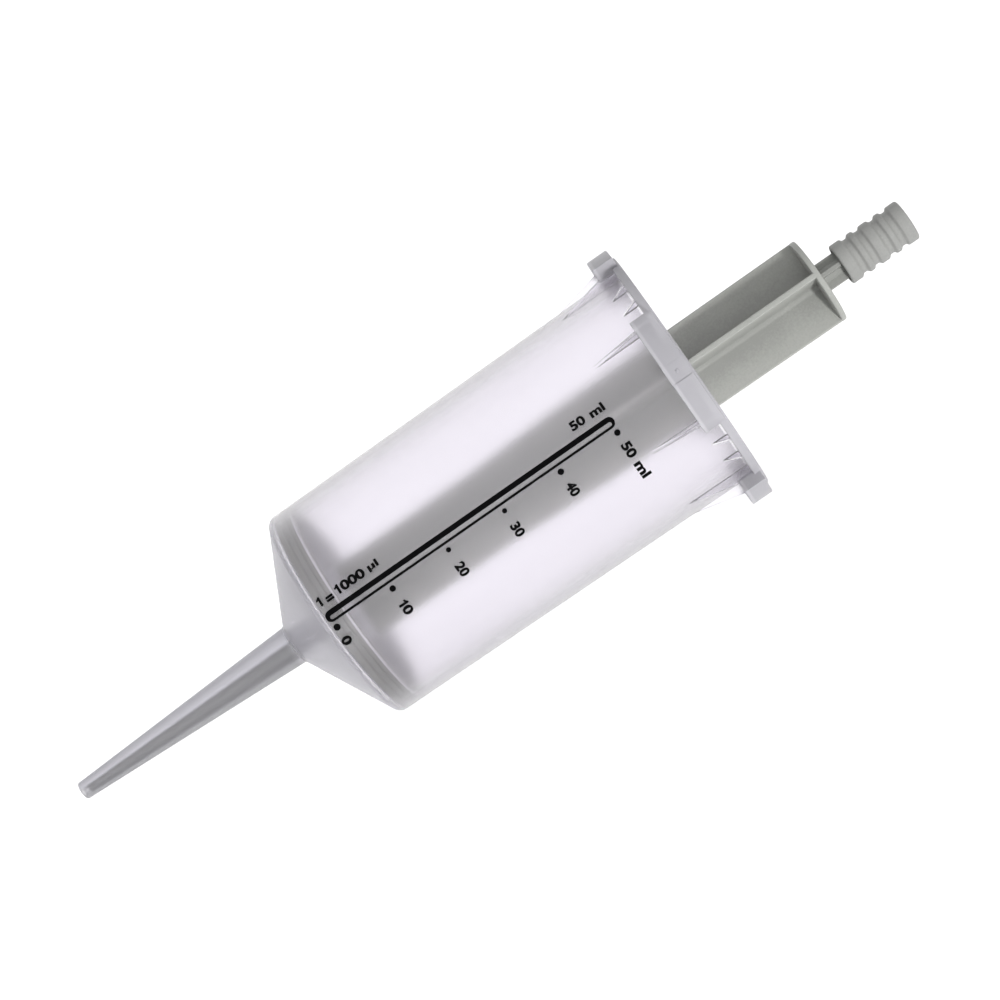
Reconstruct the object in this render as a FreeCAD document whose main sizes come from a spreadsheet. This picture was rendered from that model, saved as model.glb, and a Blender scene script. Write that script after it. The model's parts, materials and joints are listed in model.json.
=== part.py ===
import FreeCAD, Part
import math
import os
import Sketcher
from FreeCAD import Placement, Rotation, Vector

# Repeating pipette tip, 50 ml, in millimetres.
# Each piece is drawn along its own X axis, from the nozzle's tip at 0 towards the coupling head.

doc = FreeCAD.newDocument("pipette_tip")
sheet = doc.addObject("Spreadsheet::Sheet", "sizes")

# Driving dimensions
dimensions = {
    # nozzle and cone
    "nozzle_length": 41.8,
    "nozzle_tip_radius": 1.5,
    "nozzle_base_radius": 3.33,
    "tip_bore_radius": 0.7,
    "base_bore_radius": 1.83,
    "tip_chamfer": 0.25,
    "cone_half_angle": 61.8,
    "cone_wall": 1.0,
    # bore tube
    "bore_radius": 17.5,
    "tube_wall": 1.06,
    "tube_length": 68.5,
    "tube_draft": 0.5,
    "shoulder_round": 1.2,
    "mouth_chamfer": 0.4,
    # flange disc, lugs and their webs
    "disc_radius": 21.45,
    "disc_thickness": 1.4,
    "lug_count": 4,
    "lug_reach": 1.65,
    "lug_angle": 52.0,
    "lug_height": 3.7,
    "lug_drop": 0.4,
    "lug_skirt": 2.2,
    "lug_chamfer": 0.35,
    "gusset_length": 8.2,
    "gusset_thickness": 0.6,
    "gusset_inset": 1.8,
    "rib_length": 2.8,
    "rib_thickness": 0.5,
    "rib_rim_inset": 0.85,
    "rib_spread": 12.6,
    "gate_width": 3.1,
    "gate_depth": 0.12,
    # piston
    "cone_gap": 0.3,
    "lip_clearance": 0.04,
    "lip_width": 1.0,
    "seal_length": 3.25,
    "seal_groove": 0.22,
    "rim_thickness": 1.2,
    "web_thickness": 1.5,
    "face_radius": 13.0,
    "spigot_radius": 2.35,
    "needle_clearance": 0.08,
    "needle_setback": 0.5,
    # rod
    "rod_length": 88.0,
    "rod_radius": 7.4,
    "waist_radius": 6.52,
    "waist_length": 26.0,
    "flare_radius": 7.2,
    "flare_length": 17.0,
    "fin_count": 4,
    "fin_thickness": 0.95,
    "fin_root_round": 0.9,
    "plate_thickness": 0.95,
    "plate_chamfer": 0.25,
    "neck_length": 3.9,
    "neck_radius": 2.4,
    "neck_rib": 0.75,
    "neck_core": 1.3,
    "neck_gap": 0.45,
    "plunger_turn": 5.8,
    # coupling head
    "head_length": 12.6,
    "head_radius": 3.53,
    "head_chamfer": 0.35,
    "groove_depth": 0.5,
    "groove_width": 0.85,
    "groove_inner": 1.43,
    "groove_outer": 3.65,
    "socket_radius": 1.9,
    "socket_depth": 8.0,
    "hollow_radius": 2.95,
    "hollow_depth": 1.6,
}

# Places along the axis (names in _x) and radii that follow from the driving dimensions
derived = {
    "axis": "0",
    "tip_x": "0",
    "shoulder_radius": "bore_radius + tube_wall",
    "shoulder_x": "nozzle_length + (shoulder_radius - nozzle_base_radius) / tan(cone_half_angle * 1deg)",
    "shoulder_setback": "shoulder_round * tan((cone_half_angle - tube_draft) / 2 * 1deg)",
    "cone_end_x": "shoulder_x - shoulder_setback * cos(cone_half_angle * 1deg)",
    "cone_end_radius": "shoulder_radius - shoulder_setback * sin(cone_half_angle * 1deg)",
    "tube_start_x": "shoulder_x + shoulder_setback * cos(tube_draft * 1deg)",
    "tube_start_radius": "shoulder_radius + shoulder_setback * sin(tube_draft * 1deg)",
    "rounding_x": "tube_start_x + shoulder_round * sin(tube_draft * 1deg)",
    "rounding_radius": "tube_start_radius - shoulder_round * cos(tube_draft * 1deg)",
    "top_x": "shoulder_x + tube_length",
    "disc_x": "top_x - disc_thickness",
    "tube_end_radius": "shoulder_radius + (disc_x - shoulder_x) * tan(tube_draft * 1deg)",
    "cone_inside_x": "nozzle_length + cone_wall / sin(cone_half_angle * 1deg)",
    "nozzle_mouth_x": "cone_inside_x + (base_bore_radius - nozzle_base_radius) / tan(cone_half_angle * 1deg)",
    "bore_x": "cone_inside_x + (bore_radius - nozzle_base_radius) / tan(cone_half_angle * 1deg)",
    "mouth_x": "top_x - mouth_chamfer",
    "mouth_radius": "bore_radius + mouth_chamfer",
    "lug_radius": "disc_radius + lug_reach",
    "rib_rim": "disc_radius - rib_rim_inset",
    "lug_top_x": "top_x - lug_drop",
    "lug_x": "lug_top_x - lug_height",
    "lug_inner_radius": "lug_radius - lug_skirt",
    "lug_pitch": "360 / lug_count",
    "gusset_angle": "lug_angle / 2 - gusset_inset",
    "wall_middle_radius": "bore_radius + tube_wall / 2",
    "disc_middle_x": "top_x - disc_thickness / 2",
    "gusset_x": "lug_x - gusset_length",
    "gusset_foot_radius": "shoulder_radius + (gusset_x - shoulder_x) * tan(tube_draft * 1deg)",
    "rib_x": "disc_x - rib_length",
    "rib_foot_radius": "shoulder_radius + (rib_x - shoulder_x) * tan(tube_draft * 1deg)",
    "gate_floor_radius": "lug_radius - gate_depth",
    "gate_outside_radius": "lug_radius + gate_depth",
    "gate_angle": "gate_width / lug_radius * 180 / pi",
    "lug_middle_radius": "lug_radius - lug_skirt / 2",
    "lip_radius": "bore_radius - lip_clearance",
    "front_face_x": "cone_inside_x + cone_gap / sin(cone_half_angle * 1deg)",
    "lip_x": "front_face_x + (lip_radius - nozzle_base_radius) / tan(cone_half_angle * 1deg)",
    "face_x": "front_face_x + (face_radius - nozzle_base_radius) / tan(cone_half_angle * 1deg)",
    "front_lip_end_x": "lip_x + lip_width",
    "rear_x": "lip_x + seal_length",
    "rear_lip_x": "rear_x - lip_width",
    "seal_floor_radius": "lip_radius - seal_groove",
    "groove_start_x": "front_lip_end_x + seal_groove",
    "groove_end_x": "rear_lip_x - seal_groove",
    "rim_radius": "lip_radius - rim_thickness",
    "dish_x": "face_x + web_thickness",
    "dish_radius": "face_radius - rim_thickness",
    "dish_rim_x": "dish_x + (rim_radius - dish_radius) / tan(cone_half_angle * 1deg)",
    "spigot_x": "front_face_x + (spigot_radius - nozzle_base_radius) / tan(cone_half_angle * 1deg)",
    "needle_base_radius": "base_bore_radius - needle_clearance",
    "needle_base_x": "front_face_x + (needle_base_radius - nozzle_base_radius) / tan(cone_half_angle * 1deg)",
    "needle_tip_x": "tip_x + needle_setback",
    "needle_tip_radius": "tip_bore_radius - needle_clearance"
                         " + needle_setback * (base_bore_radius - tip_bore_radius) / nozzle_mouth_x",
    "web_middle_x": "face_x + web_thickness / 2",
    "waist_end_x": "rear_x + waist_length",
    "flare_end_x": "waist_end_x + flare_length",
    "plate_x": "rear_x + rod_length",
    "plate_top_x": "plate_x + plate_thickness",
    "head_x": "plate_top_x + neck_length",
    "neck_end_x": "head_x - neck_gap",
    "seat_x": "head_x + hollow_depth",
    "socket_end_x": "head_x + socket_depth",
    "head_end_x": "head_x + head_length",
    "head_middle_x": "head_x + head_length / 2",
}


def fill_sheet():
    rows = [(name, str(value)) for name, value in dimensions.items()]
    rows += [(name, "=" + formula) for name, formula in derived.items()]
    for row, (name, text) in enumerate(rows, start=1):
        sheet.set(f"A{row}", name)
        sheet.set(f"B{row}", text)
        sheet.setAlias(f"B{row}", name)
    doc.recompute()


def size(name):
    return float(getattr(sheet, name))


def origin_feature(body, role):
    return next(item for item in body.Origin.OriginFeatures if item.Role == role)


def new_body(name):
    body = doc.addObject("PartDesign::Body", name)
    body.Label = name
    return body


def outline(body, name, corners):
    """Closed outline through corners, each the sheet names of a place along X and a radius.

    A third name makes the edge to the next corner an arc of that radius, rounded outwards.
    """
    sketch = body.newObject("Sketcher::SketchObject", name)
    sketch.AttachmentSupport = [(origin_feature(body, "XY_Plane"), "")]
    sketch.MapMode = "FlatFace"
    places = [Vector(size(corner[0]), size(corner[1]), 0) for corner in corners]
    starts = []
    for i, corner in enumerate(corners):
        here, there = places[i], places[(i + 1) % len(places)]
        if len(corner) == 3:
            sketch.addGeometry(outward_arc(here, there, size(corner[2])), False)
            number = sketch.addConstraint(Sketcher.Constraint("Radius", i, size(corner[2])))
            sketch.setExpression(f"Constraints[{number}]", f"sizes.{corner[2]}")
            starts.append(2)
        else:
            sketch.addGeometry(Part.LineSegment(here, there), False)
            starts.append(1)
    for i in range(len(corners)):
        after = (i + 1) % len(corners)
        sketch.addConstraint(Sketcher.Constraint("Coincident", i, 3 - starts[i], after, starts[after]))
    for i, corner in enumerate(corners):
        fix(sketch, "DistanceX", i, starts[i], corner[0])
        fix(sketch, "DistanceY", i, starts[i], corner[1])
    return sketch


def outward_arc(here, there, radius):
    """Arc between two places, bulging away from the X axis."""
    chord = there - here
    across = Vector(-chord.y, chord.x, 0).normalize()
    rise = radius - math.sqrt(radius ** 2 - (chord.Length / 2) ** 2)
    return Part.Arc(here, (here + there) / 2 + across * rise, there)


def fix(sketch, kind, edge, end, name):
    """Hold one end of an edge at a named distance from the sketch's origin."""
    if abs(size(name)) < 1e-9:
        ruler = -2 if kind == "DistanceX" else -1
        sketch.addConstraint(Sketcher.Constraint("PointOnObject", edge, end, ruler))
        return
    number = sketch.addConstraint(Sketcher.Constraint(kind, -1, 1, edge, end, size(name)))
    sketch.setExpression(f"Constraints[{number}]", f"sizes.{name}")


def turned(body, name, sketch, kind="PartDesign::Revolution", angle=None):
    """Full turn of an outline about the sketch's X axis, or a part turn to both sides of it."""
    feature = body.newObject(kind, name)
    feature.Profile = sketch
    feature.ReferenceAxis = (sketch, ["H_Axis"])
    feature.Angle = 360.0
    if angle:
        feature.Midplane = True
        feature.setExpression("Angle", f"sizes.{angle}")
    sketch.Visibility = False
    doc.recompute()
    return feature


def web(body, name, corners, thickness, azimuth=None):
    """Flat web of an outline, half its thickness to each side, at an azimuth about the X axis."""
    sketch = outline(body, name + "_outline", corners)
    if azimuth:
        sketch.AttachmentOffset = Placement(Vector(), Rotation(Vector(1, 0, 0), 1.0))
        sketch.setExpression("AttachmentOffset.Rotation.Angle", azimuth)
    pad = body.newObject("PartDesign::Pad", name)
    pad.Profile = sketch
    pad.Midplane = True
    pad.setExpression("Length", f"sizes.{thickness}")
    doc.recompute()
    return pad


def around(body, name, originals, count, span=None):
    """Copies of features, evenly spaced about the body's X axis, all round or over a span."""
    pattern = body.newObject("PartDesign::PolarPattern", name)
    pattern.Originals = originals
    pattern.Axis = (origin_feature(body, "X_Axis"), [""])
    pattern.Angle = 360.0
    if span:
        pattern.setExpression("Angle", span)
    pattern.setExpression("Occurrences", count)
    body.Tip = pattern
    doc.recompute()
    return pattern


def ring_edges(feature, along, radius):
    """Names of the round edges of a feature at a place along X and a radius."""
    found = []
    for number, edge in enumerate(feature.Shape.Edges, start=1):
        if not isinstance(edge.Curve, Part.Circle):
            continue
        same_place = abs(edge.Curve.Center.x - along) < 1e-3
        if same_place and abs(edge.Curve.Radius - radius) < 1e-3:
            found.append(f"Edge{number}")
    return found


def chamfered(body, name, base, edges, width):
    """Chamfer on the round edges of a feature."""
    chamfer = body.newObject("PartDesign::Chamfer", name)
    chamfer.Base = (base, edges)
    chamfer.setExpression("Size", f"sizes.{width}")
    body.Tip = chamfer
    doc.recompute()
    return chamfer


def make_barrel():
    body = new_body("barrel")
    outside = outline(body, "outside", [
        ("tip_x", "axis"),
        ("tip_x", "nozzle_tip_radius"),
        ("nozzle_length", "nozzle_base_radius"),
        ("cone_end_x", "cone_end_radius", "shoulder_round"),
        ("tube_start_x", "tube_start_radius"),
        ("disc_x", "tube_end_radius"),
        ("disc_x", "disc_radius"),
        ("top_x", "disc_radius"),
        ("top_x", "axis"),
    ])
    shell = turned(body, "shell", outside)
    chamfered(body, "nozzle_chamfer", shell,
              ring_edges(shell, size("tip_x"), size("nozzle_tip_radius")), "tip_chamfer")

    # Lug: a skirt that hangs from the disc's edge, open towards the nozzle
    lug_section = outline(body, "lug_section", [
        ("disc_middle_x", "lug_inner_radius"),
        ("lug_x", "lug_inner_radius"),
        ("lug_x", "lug_radius"),
        ("lug_top_x", "lug_radius"),
        ("lug_top_x", "wall_middle_radius"),
        ("disc_middle_x", "wall_middle_radius"),
    ])
    lug = turned(body, "lug", lug_section, angle="lug_angle")

    gusset_corners = [
        ("gusset_x", "wall_middle_radius"),
        ("gusset_x", "gusset_foot_radius"),
        ("lug_x", "lug_inner_radius"),
        ("lug_x", "lug_middle_radius"),
        ("disc_middle_x", "lug_middle_radius"),
        ("disc_middle_x", "wall_middle_radius"),
    ]
    rib_corners = [
        ("rib_x", "wall_middle_radius"),
        ("rib_x", "rib_foot_radius"),
        ("disc_x", "rib_rim"),
        ("disc_middle_x", "rib_rim"),
        ("disc_middle_x", "wall_middle_radius"),
    ]
    webs = []
    for side, sign in (("left", "-"), ("right", "+")):
        gusset_angle = f"{sign} sizes.gusset_angle"
        webs.append(web(body, f"gusset_{side}", gusset_corners, "gusset_thickness", gusset_angle))
        lug_rib_angle = f"{sign} sizes.gusset_angle / 2"
        webs.append(web(body, f"lug_rib_{side}", rib_corners, "rib_thickness", lug_rib_angle))
        rib_angle = f"sizes.lug_pitch / 2 {sign} sizes.rib_spread / 2"
        webs.append(web(body, f"rib_{side}", rib_corners, "rib_thickness", rib_angle))
    around(body, "lugs_and_webs", [lug] + webs, "sizes.lug_count")

    # The gated lug has no web at its middle, the others have one
    middle = web(body, "middle_gusset", gusset_corners, "gusset_thickness", "sizes.lug_pitch")
    middles = around(body, "middle_gussets", [middle], "sizes.lug_count - 1", "360 - 2 * sizes.lug_pitch")
    chamfered(body, "lug_chamfers", middles,
              ring_edges(middles, size("lug_top_x"), size("lug_radius")), "lug_chamfer")

    # Shallow flat pad on one lug, where the moulding gate was
    gate_section = outline(body, "gate_section", [
        ("lug_x", "gate_floor_radius"),
        ("lug_x", "gate_outside_radius"),
        ("lug_top_x", "gate_outside_radius"),
        ("lug_top_x", "gate_floor_radius"),
    ])
    turned(body, "gate_pad", gate_section, "PartDesign::Groove", "gate_angle")

    bore_outline = outline(body, "bore_outline", [
        ("tip_x", "axis"),
        ("tip_x", "tip_bore_radius"),
        ("nozzle_mouth_x", "base_bore_radius"),
        ("bore_x", "bore_radius"),
        ("mouth_x", "bore_radius"),
        ("top_x", "mouth_radius"),
        ("top_x", "axis"),
    ])
    bore = turned(body, "bore", bore_outline, "PartDesign::Groove")
    body.Tip = bore
    return body


def make_plunger():
    body = new_body("plunger")
    piston_section = outline(body, "piston_section", [
        ("needle_tip_x", "axis"),
        ("needle_tip_x", "needle_tip_radius"),
        ("needle_base_x", "needle_base_radius"),
        ("spigot_x", "spigot_radius"),
        ("face_x", "spigot_radius"),
        ("face_x", "face_radius"),
        ("lip_x", "lip_radius"),
        ("front_lip_end_x", "lip_radius"),
        ("groove_start_x", "seal_floor_radius"),
        ("groove_end_x", "seal_floor_radius"),
        ("rear_lip_x", "lip_radius"),
        ("rear_x", "lip_radius"),
        ("rear_x", "rim_radius"),
        ("dish_rim_x", "rim_radius"),
        ("dish_x", "dish_radius"),
        ("dish_x", "axis"),
    ])
    turned(body, "piston", piston_section)
    fin = web(body, "fin", [
        ("web_middle_x", "axis"),
        ("web_middle_x", "waist_radius"),
        ("waist_end_x", "waist_radius"),
        ("flare_end_x", "flare_radius"),
        ("plate_x", "rod_radius"),
        ("plate_x", "axis"),
    ], "fin_thickness")
    fins = around(body, "fins", [fin], "sizes.fin_count")
    roots = body.newObject("PartDesign::Fillet", "fin_roots")
    roots.Base = (fins, fin_root_edges(fins))
    roots.setExpression("Radius", "sizes.fin_root_round")
    body.Tip = roots
    doc.recompute()
    plate_section = outline(body, "plate_section", [
        ("plate_x", "axis"),
        ("plate_x", "rod_radius"),
        ("plate_top_x", "rod_radius"),
        ("plate_top_x", "axis"),
    ])
    plate = turned(body, "plate", plate_section)
    chamfered(body, "plate_edge", plate,
              ring_edges(plate, size("plate_top_x"), size("rod_radius")), "plate_chamfer")
    neck_fin = web(body, "neck_fin", [
        ("plate_top_x", "axis"),
        ("plate_top_x", "neck_radius"),
        ("neck_end_x", "neck_radius"),
        ("neck_end_x", "axis"),
    ], "neck_rib")
    around(body, "neck", [neck_fin], "sizes.fin_count")
    post_section = outline(body, "post_section", [
        ("plate_top_x", "axis"),
        ("plate_top_x", "neck_core"),
        ("seat_x", "neck_core"),
        ("seat_x", "socket_radius"),
        ("socket_end_x", "socket_radius"),
        ("socket_end_x", "axis"),
    ])
    body.Tip = turned(body, "post", post_section)
    return body


def fin_root_edges(feature):
    """Names of the four long inner corners where the rod's fins cross."""
    corner = size("fin_thickness") / 2
    found = []
    for number, edge in enumerate(feature.Shape.Edges, start=1):
        ends = [vertex.Point for vertex in edge.Vertexes]
        if len(ends) == 2 and all(
            abs(abs(end.y) - corner) < 1e-3 and abs(abs(end.z) - corner) < 1e-3 for end in ends
        ):
            found.append(f"Edge{number}")
    return found


def make_coupling_head():
    body = new_body("coupling_head")
    sleeve_section = outline(body, "sleeve_section", [
        ("head_x", "axis"),
        ("head_x", "head_radius"),
        ("head_end_x", "head_radius"),
        ("head_end_x", "axis"),
    ])
    sleeve = turned(body, "sleeve", sleeve_section)
    ends = ring_edges(sleeve, size("head_x"), size("head_radius"))
    ends += ring_edges(sleeve, size("head_end_x"), size("head_radius"))
    chamfered(body, "end_chamfers", sleeve, ends, "head_chamfer")
    for number in range(1, 5):
        groove_section = outline(body, f"groove_section_{number}", [
            (f"groove_{number}_start_x", "groove_floor_radius"),
            (f"groove_{number}_start_x", "head_radius"),
            (f"groove_{number}_end_x", "head_radius"),
            (f"groove_{number}_end_x", "groove_floor_radius"),
        ])
        turned(body, f"ring_groove_{number}", groove_section, "PartDesign::Groove")
    socket_section = outline(body, "socket_section", [
        ("head_x", "axis"),
        ("head_x", "hollow_radius"),
        ("seat_x", "hollow_radius"),
        ("seat_x", "socket_radius"),
        ("socket_end_x", "socket_radius"),
        ("socket_end_x", "axis"),
    ])
    body.Tip = turned(body, "socket", socket_section, "PartDesign::Groove")
    return body


def add_groove_places():
    """Places of the four ring grooves, even about the head's middle."""
    offsets = ("-groove_outer", "-groove_inner", "+groove_inner", "+groove_outer")
    for number, offset in enumerate(offsets, start=1):
        middle = f"head_middle_x {offset}"
        derived[f"groove_{number}_start_x"] = f"{middle} - groove_width / 2"
        derived[f"groove_{number}_end_x"] = f"{middle} + groove_width / 2"
    derived["groove_floor_radius"] = "head_radius - groove_depth"


def rest_turn():
    """Turn of the part as it lies: on two lug corners and the rounded shoulder of the tube."""
    half_gap = math.radians(180.0 / size("lug_count") - size("lug_angle") / 2)
    lug_depth = size("lug_radius") * math.cos(half_gap)
    rounding = size("shoulder_round")
    run = size("lug_x") - size("rounding_x")
    fall = lug_depth - size("rounding_radius")
    tilt = math.acos(rounding / math.hypot(run, fall)) - math.atan2(run, fall)
    roll = Rotation(Vector(1, 0, 0), 180.0 - 180.0 / size("lug_count"))
    pitch = Rotation(Vector(0, 1, 0), -math.degrees(tilt))
    return pitch.multiply(roll)


def lay_down(barrel, moving):
    """Lay the part on z = 0, with the middle of its footprint over the origin.

    The plunger and its head can turn in the bore, and lie turned a little from the barrel's lugs.
    """
    turn = rest_turn()
    spin = Rotation(Vector(1, 0, 0), -size("plunger_turn"))
    barrel.Placement = Placement(Vector(), turn)
    for body in moving:
        body.Placement = Placement(Vector(), turn.multiply(spin))
    whole = Part.makeCompound([body.Shape for body in [barrel] + moving])
    box = whole.optimalBoundingBox(False)
    shift = Vector(-(box.XMin + box.XMax) / 2, -(box.YMin + box.YMax) / 2, -box.ZMin)
    for body in [barrel] + moving:
        body.Placement = Placement(shift, body.Placement.Rotation)
    doc.recompute()


def check_model(bodies):
    for item in doc.Objects:
        if "Invalid" in item.State or "Error" in item.State:
            raise RuntimeError(f"{item.Name} failed: {item.State}")
    for body in bodies:
        shape = body.Shape
        if shape.isNull() or not shape.isValid() or len(shape.Solids) != 1:
            raise RuntimeError(f"{body.Label} is not one valid solid")


def write_parts(bodies):
    os.makedirs("parts", exist_ok=True)
    for body in bodies:
        body.Shape.exportStep(os.path.join("parts", body.Label + ".step"))


add_groove_places()
fill_sheet()
pieces = [make_barrel(), make_plunger(), make_coupling_head()]
lay_down(pieces[0], pieces[1:])
check_model(pieces)
write_parts(pieces)
for piece in pieces:
    print(f"{piece.Label}: {piece.Shape.Volume:.1f} mm3, {len(piece.Shape.Faces)} faces")
whole_box = Part.makeCompound([piece.Shape for piece in pieces]).optimalBoundingBox(False)
print(f"whole: {whole_box.XLength:.2f} x {whole_box.YLength:.2f} x {whole_box.ZLength:.2f} mm")
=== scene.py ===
import json
import math

import bmesh
import bpy
from mathutils import Matrix, Vector


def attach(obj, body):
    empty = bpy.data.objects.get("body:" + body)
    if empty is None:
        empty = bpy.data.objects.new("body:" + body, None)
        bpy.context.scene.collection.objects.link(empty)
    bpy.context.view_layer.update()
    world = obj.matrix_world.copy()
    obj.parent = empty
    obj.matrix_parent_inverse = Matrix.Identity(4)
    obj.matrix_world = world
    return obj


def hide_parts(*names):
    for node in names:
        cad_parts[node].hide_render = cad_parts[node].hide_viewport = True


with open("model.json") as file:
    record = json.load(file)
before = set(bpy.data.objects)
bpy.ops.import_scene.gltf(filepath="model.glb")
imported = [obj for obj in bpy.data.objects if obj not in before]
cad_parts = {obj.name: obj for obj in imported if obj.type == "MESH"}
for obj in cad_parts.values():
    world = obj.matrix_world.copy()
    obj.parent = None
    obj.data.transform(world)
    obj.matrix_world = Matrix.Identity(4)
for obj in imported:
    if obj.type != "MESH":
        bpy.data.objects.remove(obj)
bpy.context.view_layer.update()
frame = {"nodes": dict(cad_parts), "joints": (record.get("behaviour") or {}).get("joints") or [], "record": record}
print("frame loaded:", sorted(frame["nodes"]))

# The tip is drawn in millimetres along its own axis: X runs from the nozzle's end to the head,
# Y points to the lug nearest the camera, and an angle round the axis grows from Y towards Z.
mm = 0.001
grip = frame["record"]["mounts"][0]
gripStation = 153.252  # the middle of the coupling head, along the axis
alongAxis = Vector(frame["joints"][0]["axis"]).normalized()
levelAxis = Vector((0, 1, 0))
riseAxis = alongAxis.cross(levelAxis)
nearAxis = (riseAxis - levelAxis).normalized()
lowerAxis = alongAxis.cross(nearAxis)
nozzleEnd = Vector(grip["pos_m"]) - alongAxis * gripStation * mm
tipTurn = Matrix((alongAxis, nearAxis, lowerAxis)).transposed()
tipPlace = Matrix.Translation(nozzleEnd) @ tipTurn.to_4x4() @ Matrix.Scale(mm, 4)
xAxis = Vector((1, 0, 0))


# Modelling helpers

def drawOutline(corners, closed=True):
    # corners are (station, radius) or (station, radius, how far the rounding reaches along each side)
    bm = bmesh.new()
    ring = [bm.verts.new((corner[0], corner[1], 0)) for corner in corners]
    ends = ring[1:] + ring[:1] if closed else ring[1:]
    for a, b in zip(ring, ends):
        bm.edges.new((a, b))
    for vert, corner in zip(ring, corners):
        if len(corner) == 3:
            bmesh.ops.bevel(bm, geom=[vert], offset=corner[2], offset_type="OFFSET",
                            affect="VERTICES", segments=5, profile=0.5, material=-1)
    return bm


def turnRound(bm, steps=192):
    bmesh.ops.spin(bm, geom=bm.verts[:] + bm.edges[:], cent=(0, 0, 0), axis=xAxis, dvec=(0, 0, 0),
                   angle=math.tau, steps=steps, use_merge=True, use_duplicate=False)
    bmesh.ops.remove_doubles(bm, verts=bm.verts, dist=1e-4)
    bmesh.ops.recalc_face_normals(bm, faces=bm.faces)
    return bm


def turnPart(bm, angle, steps):
    bmesh.ops.contextual_create(bm, geom=bm.edges[:])
    roll(bm, -angle / 2)
    bmesh.ops.spin(bm, geom=bm.verts[:] + bm.edges[:] + bm.faces[:], cent=(0, 0, 0), axis=xAxis,
                   dvec=(0, 0, 0), angle=math.radians(angle), steps=steps, use_duplicate=False)
    bmesh.ops.recalc_face_normals(bm, faces=bm.faces)
    return bm


def pushOut(bm, way):
    faces = bm.faces[:]
    made = bmesh.ops.extrude_face_region(bm, geom=faces)
    moved = [item for item in made["geom"] if isinstance(item, bmesh.types.BMVert)]
    bmesh.ops.translate(bm, verts=moved, vec=way)
    bmesh.ops.recalc_face_normals(bm, faces=bm.faces)
    return bm


def makeSlab(bm, thickness):
    bmesh.ops.contextual_create(bm, geom=bm.edges[:])
    bmesh.ops.translate(bm, verts=bm.verts, vec=(0, 0, -thickness / 2))
    return pushOut(bm, (0, 0, thickness))


def softenEdges(bm, width, sharperThan=40):
    edges = [edge for edge in bm.edges if edge.calc_face_angle(0) > math.radians(sharperThan)]
    bmesh.ops.bevel(bm, geom=edges, offset=width, offset_type="OFFSET", affect="EDGES",
                    segments=3, profile=0.5, material=-1, clamp_overlap=True)
    return bm


def roll(bm, angle):
    bmesh.ops.rotate(bm, verts=bm.verts, cent=(0, 0, 0), matrix=Matrix.Rotation(math.radians(angle), 3, "X"))
    return bm


def toObject(bm, name):
    mesh = bpy.data.meshes.new(name)
    bm.to_mesh(mesh)
    bm.free()
    made = bpy.data.objects.new(name, mesh)
    bpy.context.scene.collection.objects.link(made)
    return made


def joinSolids(base, others, operation="UNION"):
    # one watertight skin from overlapping solids, so that light bends only where the plastic ends
    for other in others:
        combine = base.modifiers.new(other.name, "BOOLEAN")
        combine.operation = operation
        combine.solver = "MANIFOLD"
        combine.object = other
    shown = base.evaluated_get(bpy.context.evaluated_depsgraph_get())
    joined = bpy.data.meshes.new_from_object(shown)
    base.modifiers.clear()
    base.data = joined
    for other in others:
        bpy.data.objects.remove(other)
    return base


def finishPiece(piece, body, material, node=None):
    # place it in the shared frame, shade it and hand it to its body
    piece.data.transform(tipPlace)
    piece.data.shade_smooth()
    piece.data.set_sharp_from_angle(angle=math.radians(32))
    evenShade = piece.modifiers.new("evenShade", "WEIGHTED_NORMAL")
    evenShade.keep_sharp = True
    piece.data.materials.clear()
    piece.data.materials.append(material)
    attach(piece, body)
    if node:
        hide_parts(node)
    print("piece ready:", piece.name, len(piece.data.polygons), "faces")
    return piece


# Material helpers

class Signal:
    def __init__(self, finish, socket):
        self.finish = finish
        self.socket = socket

    def maths(self, operation, first, second):
        return self.finish.add("ShaderNodeMath", {"operation": operation}, {0: first, 1: second})

    def __add__(self, other):
        return self.maths("ADD", self, other)

    def __radd__(self, other):
        return self.maths("ADD", other, self)

    def __sub__(self, other):
        return self.maths("SUBTRACT", self, other)

    def __rsub__(self, other):
        return self.maths("SUBTRACT", other, self)

    def __mul__(self, other):
        return self.maths("MULTIPLY", self, other)

    def __rmul__(self, other):
        return self.maths("MULTIPLY", other, self)

    def rise(self, low, high):
        # 0 below low, 1 above high and a smooth slope between
        return self.finish.add("ShaderNodeMapRange", {"interpolation_type": "SMOOTHSTEP"},
                               {"Value": self, "From Min": low, "From Max": high})


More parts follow.
